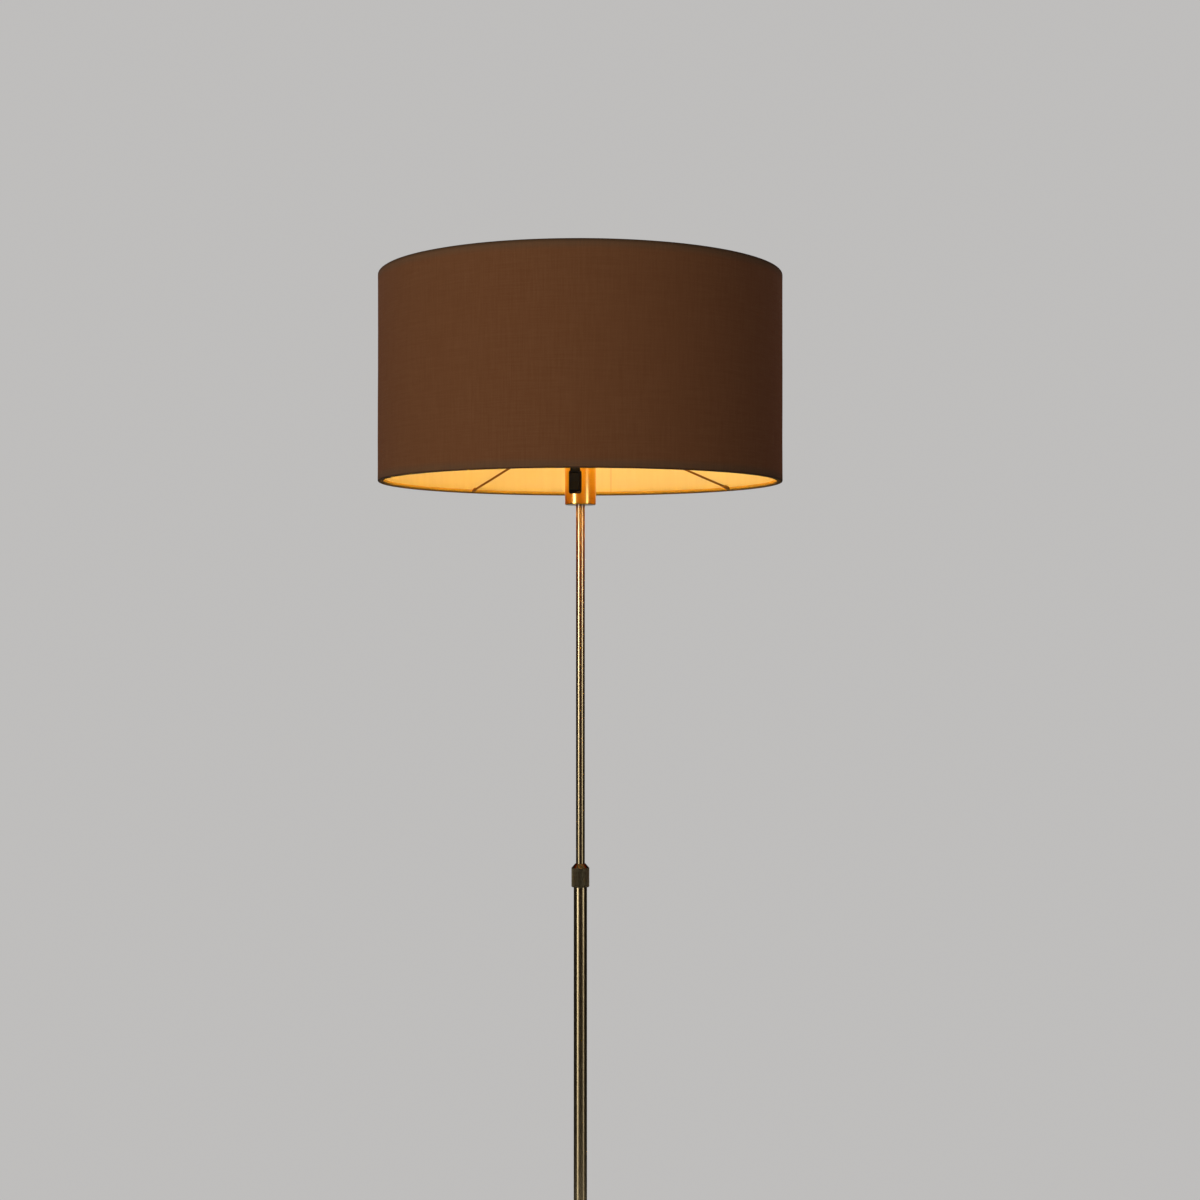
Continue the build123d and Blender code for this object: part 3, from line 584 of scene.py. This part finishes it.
def offset(line, depth):
    moved = []
    for i, here in enumerate(line):
        before, after = line[max(i - 1, 0)], line[min(i + 1, len(line) - 1)]
        step = Vector((after[0] - before[0], after[1] - before[1])).normalized()
        moved.append((here[0] - step.y * depth, here[1] + step.x * depth))
    return moved


def cloth_move(angle, r, z):
    """Waves along the cut edges inside the hems; outside, unevenness and a ridge over each hem."""
    from_rim = min(z - shade_low, shade_top - z)
    if r < SHADE_R - 0.004:
        rim = max(0.0, 1 - from_rim / HEM_HEIGHT)
        at = Vector((math.cos(angle) * 14, math.sin(angle) * 14, z * 3))
        wave = EDGE_WAVE * noise.noise(at)
        lift = wave if z - shade_low < shade_top - z else -wave
        return r + wave * rim, z + lift * (1 - rim)
    ridge = HEM_RIDGE * max(0.0, 1 - abs(from_rim - HEM_RIDGE_HEIGHT) / HEM_RIDGE_HEIGHT)
    return min(r + ridge + uneven(angle, z), SHADE_R + LARGEST_BULGE), z


outer_line = cloth_line()
inner_line = offset(outer_line, CLOTH)
shade_cloth = turned("shade_cloth", outer_line + inner_line[::-1], 360, "shade", cloth,
                     cloth_move, 60.0)
shade_cloth.data.materials.append(hem_cloth)
for face in shade_cloth.data.polygons:
    if math.hypot(face.center.x, face.center.y) < SHADE_R - HEM_WIDTH * 0.4:
        face.material_index = 1
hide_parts("shade_fabric")


def curved_sheet(name, radius_at, begin, extent, low, high, thickness, steps, levels, material):
    """Closed thin sheet round Z: radius_at(share along, angle, height) gives its inner face."""
    verts, faces = [], []
    for i in range(steps + 1):
        angle = begin + extent * i / steps
        for z in rows(low, high, levels):
            r = radius_at(i / steps, angle, z)
            for side in (0.0, thickness):
                verts.append(((r + side) * math.cos(angle), (r + side) * math.sin(angle), z))
    tall = 2 * (levels + 1)
    for i in range(steps):
        for k in range(levels):
            for side in (0, 1):
                a = i * tall + 2 * k + side
                faces.append((a, a + tall, a + tall + 2, a + 2))
        for k in (0, levels):
            a = i * tall + 2 * k
            faces.append((a, a + tall, a + tall + 1, a + 1))
    for i in (0, steps):
        for k in range(levels):
            a = i * tall + 2 * k
            faces.append((a, a + 2, a + 3, a + 1))
    return piece(name, verts, faces, "shade", material, 40.0)


def lap_radius(share, angle, z):
    lap = LAP_STEP * max(0.0, min(1.0, (share - LAP_START) / LAP_RAMP))
    return LINER_R - lap + 0.5 * min(uneven(angle, z), 0.0)


def strip_radius(share, angle, z):
    return SHADE_R + SEAM_LIFT + max(uneven(angle, z), -SEAM_LIFT)


liner_low, liner_high = heights("shade_liner")
liner = curved_sheet("shade_lining_sheet", lap_radius, LINER_BEGIN, LINER_SWEEP, liner_low,
                     liner_high, LINER_THICK, 400, 24, lining)
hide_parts("shade_liner")

seam_low, seam_high = heights("shade_seam")
strip = curved_sheet("shade_lap_strip", strip_radius, SEAM_ANGLE - SEAM_WIDTH / 2 / SHADE_R,
                     SEAM_WIDTH / SHADE_R, seam_low, seam_high, SEAM_THICK, 8, 60, cloth)
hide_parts("shade_seam")


def wire_ring(node):
    low, high = heights(node)
    middle, half = (low + high) / 2, (high - low) / 2
    turns = [2 * math.pi * k / 16 for k in range(16)]
    outline = [(WIRE_RING_R + half * math.cos(t), middle + half * math.sin(t)) for t in turns]
    made = turned(node + "_round", outline, 240, "shade", coated, None, 60.0)
    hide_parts(node)
    return middle


wire_height = wire_ring("shade_bottom_wire")
wire_ring("shade_top_wire")


def spider():
    """Four wires from the flat ring in the middle to the bottom wire, with a bead at each weld."""
    low, high = heights("spider_ring")
    outline = rounded([(SPIDER_RING_IN_R, low, 0.0004), (SPIDER_RING_OUT_R, low, 0.0006),
                       (SPIDER_RING_OUT_R, high, 0.0006), (SPIDER_RING_IN_R, high, 0.0004)], 4)
    made = turned("spider_ring_pressed", outline, 96, "shade", coated)
    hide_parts("spider_ring")
    first = Vector((ARM_START_R, 0, (low + high) / 2))
    last = Vector((ARM_END_R, 0, wire_height))
    length = (last - first).length
    profile = list(RING_BEAD)
    profile += [(d, ARM_R) for d in rows(0.012, length - 0.0135, 12)]
    profile += [(length - d, r) for d, r in RIM_BEAD]
    radii = [r for _, r in profile]
    verts, faces = [], []
    for number, angle in enumerate(ARM_ANGLES):
        points = []
        for d, _ in profile:
            arch = math.sin(math.pi * d / length)
            bow = Vector((0, ARM_BOW * arch * (-1) ** number, -ARM_SAG * arch))
            points.append(first.lerp(last, d / length) + bow)
        arm_verts, arm_faces = sweep(points, radii)
        turn = Matrix.Rotation(angle, 3, "Z")
        faces += [tuple(k + len(verts) for k in face) for face in arm_faces]
        verts += [turn @ v for v in arm_verts]
    arms = piece("spider_wires", verts, faces, "shade", coated, 50.0)
    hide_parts("spider_arms")


spider()


# Lampholder skirt and bulb cap with their screw threads

def threaded_skirt():
    low, high = heights("holder_skirt")
    seat = heights("spider_ring")[0] - 0.0002
    outline = [(SKIRT_FOOT_R, low), (0.01700, low), (0.01725, low + 0.0003), (0.01920, low + 0.0040),
               (SKIRT_R, low + 0.0045), (SKIRT_R, seat - 0.0031), (0.02200, seat - 0.0030),
               (FLANGE_R, seat - 0.0026), (FLANGE_R, seat - 0.0004), (0.02200, seat),
               (SKIRT_R, seat)]
    outline += [(SKIRT_R, z) for z in rows(seat + 0.0004, high - 0.0006, 66)]
    outline += [(0.0189, high), (0.0141, high), (SKIRT_BORE_R, high - 0.0003),
                (SKIRT_BORE_R, low + 0.008), (SKIRT_FOOT_R, low + 0.008)]

    def thread(angle, r, z):
        if abs(r - SKIRT_R) > 1e-6 or z <= seat + 0.0003:
            return r, z
        cut = 1 - saw((z - seat) / SKIRT_PITCH - angle / (2 * math.pi))
        return r - SKIRT_CUT * cut * min(1.0, (high - z) / 0.0015), z

    made = turned("holder_skirt_threaded", outline, 120, "stem", black_dull, thread, 45.0)
    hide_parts("holder_skirt")


def threaded_cap():
    low, high = heights("bulb_cap")
    outline = [(0.0120, low)] + [(CAP_R, z) for z in rows(low + 0.0008, high, 60)]
    outline += [(0.0118, high), (0.0114, low + 0.001)]

    def thread(angle, r, z):
        if r < CAP_R - 0.0001:
            return r, z
        phase = (z - low) / CAP_PITCH - angle / (2 * math.pi)
        fade = max(0.0, min(1.0, (high - 0.0012 - z) / 0.002))
        return r - CAP_CUT * (0.5 - 0.5 * math.cos(2 * math.pi * phase)) * fade, z

    made = turned("bulb_cap_threaded", outline, 96, "bulb", nickel, thread, 45.0)
    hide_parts("bulb_cap")


threaded_skirt()
threaded_cap()


# Floor that fades into the background, world, lamps and camera

def seen(tree):
    """1 for what the camera sees straight on, in a reflection or through glass."""
    path = add(tree, "ShaderNodeLightPath").outputs
    bent = calc(tree, "MAXIMUM", path["Is Glossy Ray"], path["Is Transmission Ray"])
    return calc(tree, "MAXIMUM", path["Is Camera Ray"], bent)


def floor():
    material, tree, place = blank("floor_pale")
    cloud = grain(tree, place, (1.5, 1.5, 1.5))
    matt = add(tree, "ShaderNodeBsdfPrincipled", {
        "Base Color": blend_colour(tree, cloud, (0.74, 0.73, 0.72), (0.77, 0.76, 0.75)),
        "Roughness": 0.85, "Specular IOR Level": 0.0})
    pale = add(tree, "ShaderNodeEmission", {"Color": (*BACKGROUND, 1.0), "Strength": 1.0})
    away = add(tree, "ShaderNodeVectorMath", {0: place}, operation="LENGTH").outputs["Value"]
    fade = calc(tree, "MULTIPLY", span(tree, away, *FLOOR_FADE), seen(tree))
    below = add(tree, "ShaderNodeNewGeometry").outputs["Backfacing"]
    clear = add(tree, "ShaderNodeBsdfTransparent")
    show(tree, blend_shader(tree, below, blend_shader(tree, fade, matt, pale), clear))
    mesh = bpy.data.meshes.new("floor")
    work = bmesh.new()
    bmesh.ops.create_circle(work, cap_ends=True, segments=96, radius=FLOOR_R)
    work.to_mesh(mesh)
    work.free()
    obj = in_scene("floor", mesh, material)
    obj.location.z = -FLOOR_DROP


def studio():
    """World that is the pale background where it is seen and a soft grey fill light elsewhere."""
    world = bpy.data.worlds.new("studio")
    scene.world = world
    world.use_nodes = True
    tree = world.node_tree
    tree.nodes.clear()
    sky = add(tree, "ShaderNodeBackground", {"Color": (*BACKGROUND, 1.0), "Strength": 1.0})
    soft = add(tree, "ShaderNodeBackground", {"Color": (*FILL_COLOUR, 1.0),
                                              "Strength": FILL_STRENGTH})
    both = blend_shader(tree, seen(tree), soft, sky)
    tree.links.new(both.outputs[0], add(tree, "ShaderNodeOutputWorld").inputs[0])


def on_ring(bearing, distance, height):
    turn = math.radians(bearing)
    return Vector((distance * math.sin(turn), -distance * math.cos(turn), height))


def softbox(name, bearing, distance, height, wide, tall, power, mirrored):
    """Area lamp aimed at the stem; a mirrored one shows only in reflections, the others never do."""
    lamp = bpy.data.lights.new(name, "AREA")
    lamp.shape = "RECTANGLE"
    lamp.size = wide
    lamp.size_y = tall
    lamp.energy = power
    lamp.color = LAMP_COLOUR
    obj = bpy.data.objects.new(name, lamp)
    obj.location = on_ring(bearing, distance, height)
    obj.rotation_euler = (LAMP_AIM - obj.location).to_track_quat("-Z", "Y").to_euler()
    obj.visible_camera = False
    obj.visible_glossy = mirrored
    obj.visible_diffuse = not mirrored
    scene.collection.objects.link(obj)
    return obj


def flag(name, first, last, low, high):
    """Curved black card round the stem that only reflections see.

    It is warm by the shade's lower rim, as if the shade lit it, and fades out near the floor.
    """
    material, tree, place = blank(name)
    velvet = blend_colour(tree, grain(tree, place, (9, 9, 9)), (0.004, 0.0036, 0.003),
                          (0.008, 0.0074, 0.0066))
    height = split(tree, place)[2]
    warmed = blend_colour(tree, span(tree, height, *CARD_GLOW), velvet, GLOW_COLOUR)
    card = add(tree, "ShaderNodeEmission", {"Color": warmed, "Strength": 1.0})
    clear = add(tree, "ShaderNodeBsdfTransparent")
    show(tree, blend_shader(tree, span(tree, height, *CARD_FADE), clear, card))
    verts = [on_ring(bearing, CARD_R, z) for bearing in rows(first, last, CARD_STEPS)
             for z in (low, high)]
    mesh = bpy.data.meshes.new(name)
    mesh.from_pydata(verts, [], [(2 * k, 2 * k + 2, 2 * k + 3, 2 * k + 1)
                                 for k in range(CARD_STEPS)])
    obj = in_scene(name, mesh, material)
    obj.visible_camera = obj.visible_diffuse = False
    obj.visible_shadow = obj.visible_transmission = False


floor()
studio()
softbox("key_left", -29, 2.6, 1.9, 1.3, 1.8, 53.0, False)
softbox("side_right", 105, 2.6, 1.9, 1.3, 1.8, 4.2, False)
softbox("rim_back", 170, 2.8, 2.4, 1.4, 1.0, 22.0, False)

# Strips for the two streaks along the tubes
for side, bearing, wide, powers in (
        ("left", LEFT_STREAK, LEFT_STRIP_WIDTH, (1.15, 1.6, 14.0)),
        ("right", RIGHT_STREAK, RIGHT_STRIP_WIDTH, (0.27, 0.65, 5.2))):
    for (level, height, tall), power in zip(STRIP_LEVELS, powers):
        softbox("strip_%s_%s" % (side, level), bearing, STRIP_DISTANCE, height, wide, tall, power,
                True)

# Strips for the two glints on the cup, which light nothing else
cup_only = bpy.data.collections.new("cup_glint")
cup_only.objects.link(nodes["holder_cup"])
for name, bearing, wide, power in (("glint_left", LEFT_STREAK, 0.5, 27.0),
                                   ("glint_right", RIGHT_STREAK, 0.46, 8.6)):
    glint = softbox(name, bearing, GLINT_DISTANCE, GLINT_HEIGHT, wide, GLINT_TALL, power, True)
    glint.light_linking.receiver_collection = cup_only
    glint.data.color = GLINT_COLOUR

# Black cards, with gaps for the strips
for name, first, last, low, high in (
        ("flag_front", -36, 42, CARD_SPLIT, CARD_TOP),
        ("flag_left", -156, -56, CARD_SPLIT, CARD_TOP),
        ("flag_right", 62, 156, CARD_SPLIT, CARD_TOP),
        ("flag_front_low", -38, 51, CARD_LOW, CARD_SPLIT),
        ("flag_left_low", -156, -54, CARD_LOW, CARD_SPLIT),
        ("flag_right_low", 61, 156, CARD_LOW, CARD_SPLIT)):
    flag(name, first, last, low, high)

view = bpy.data.cameras.new("camera")
view.sensor_width = SENSOR_WIDTH
view.lens = FOCAL_LENGTH / PICTURE_WIDTH * SENSOR_WIDTH
camera = bpy.data.objects.new("camera", view)
camera.location = (CAMERA_RIGHT, -CAMERA_BACK, shade_low - CAMERA_BELOW_SHADE)
camera.rotation_euler = (CAMERA_TILT, 0.0, 0.0)
scene.collection.objects.link(camera)
scene.camera = camera
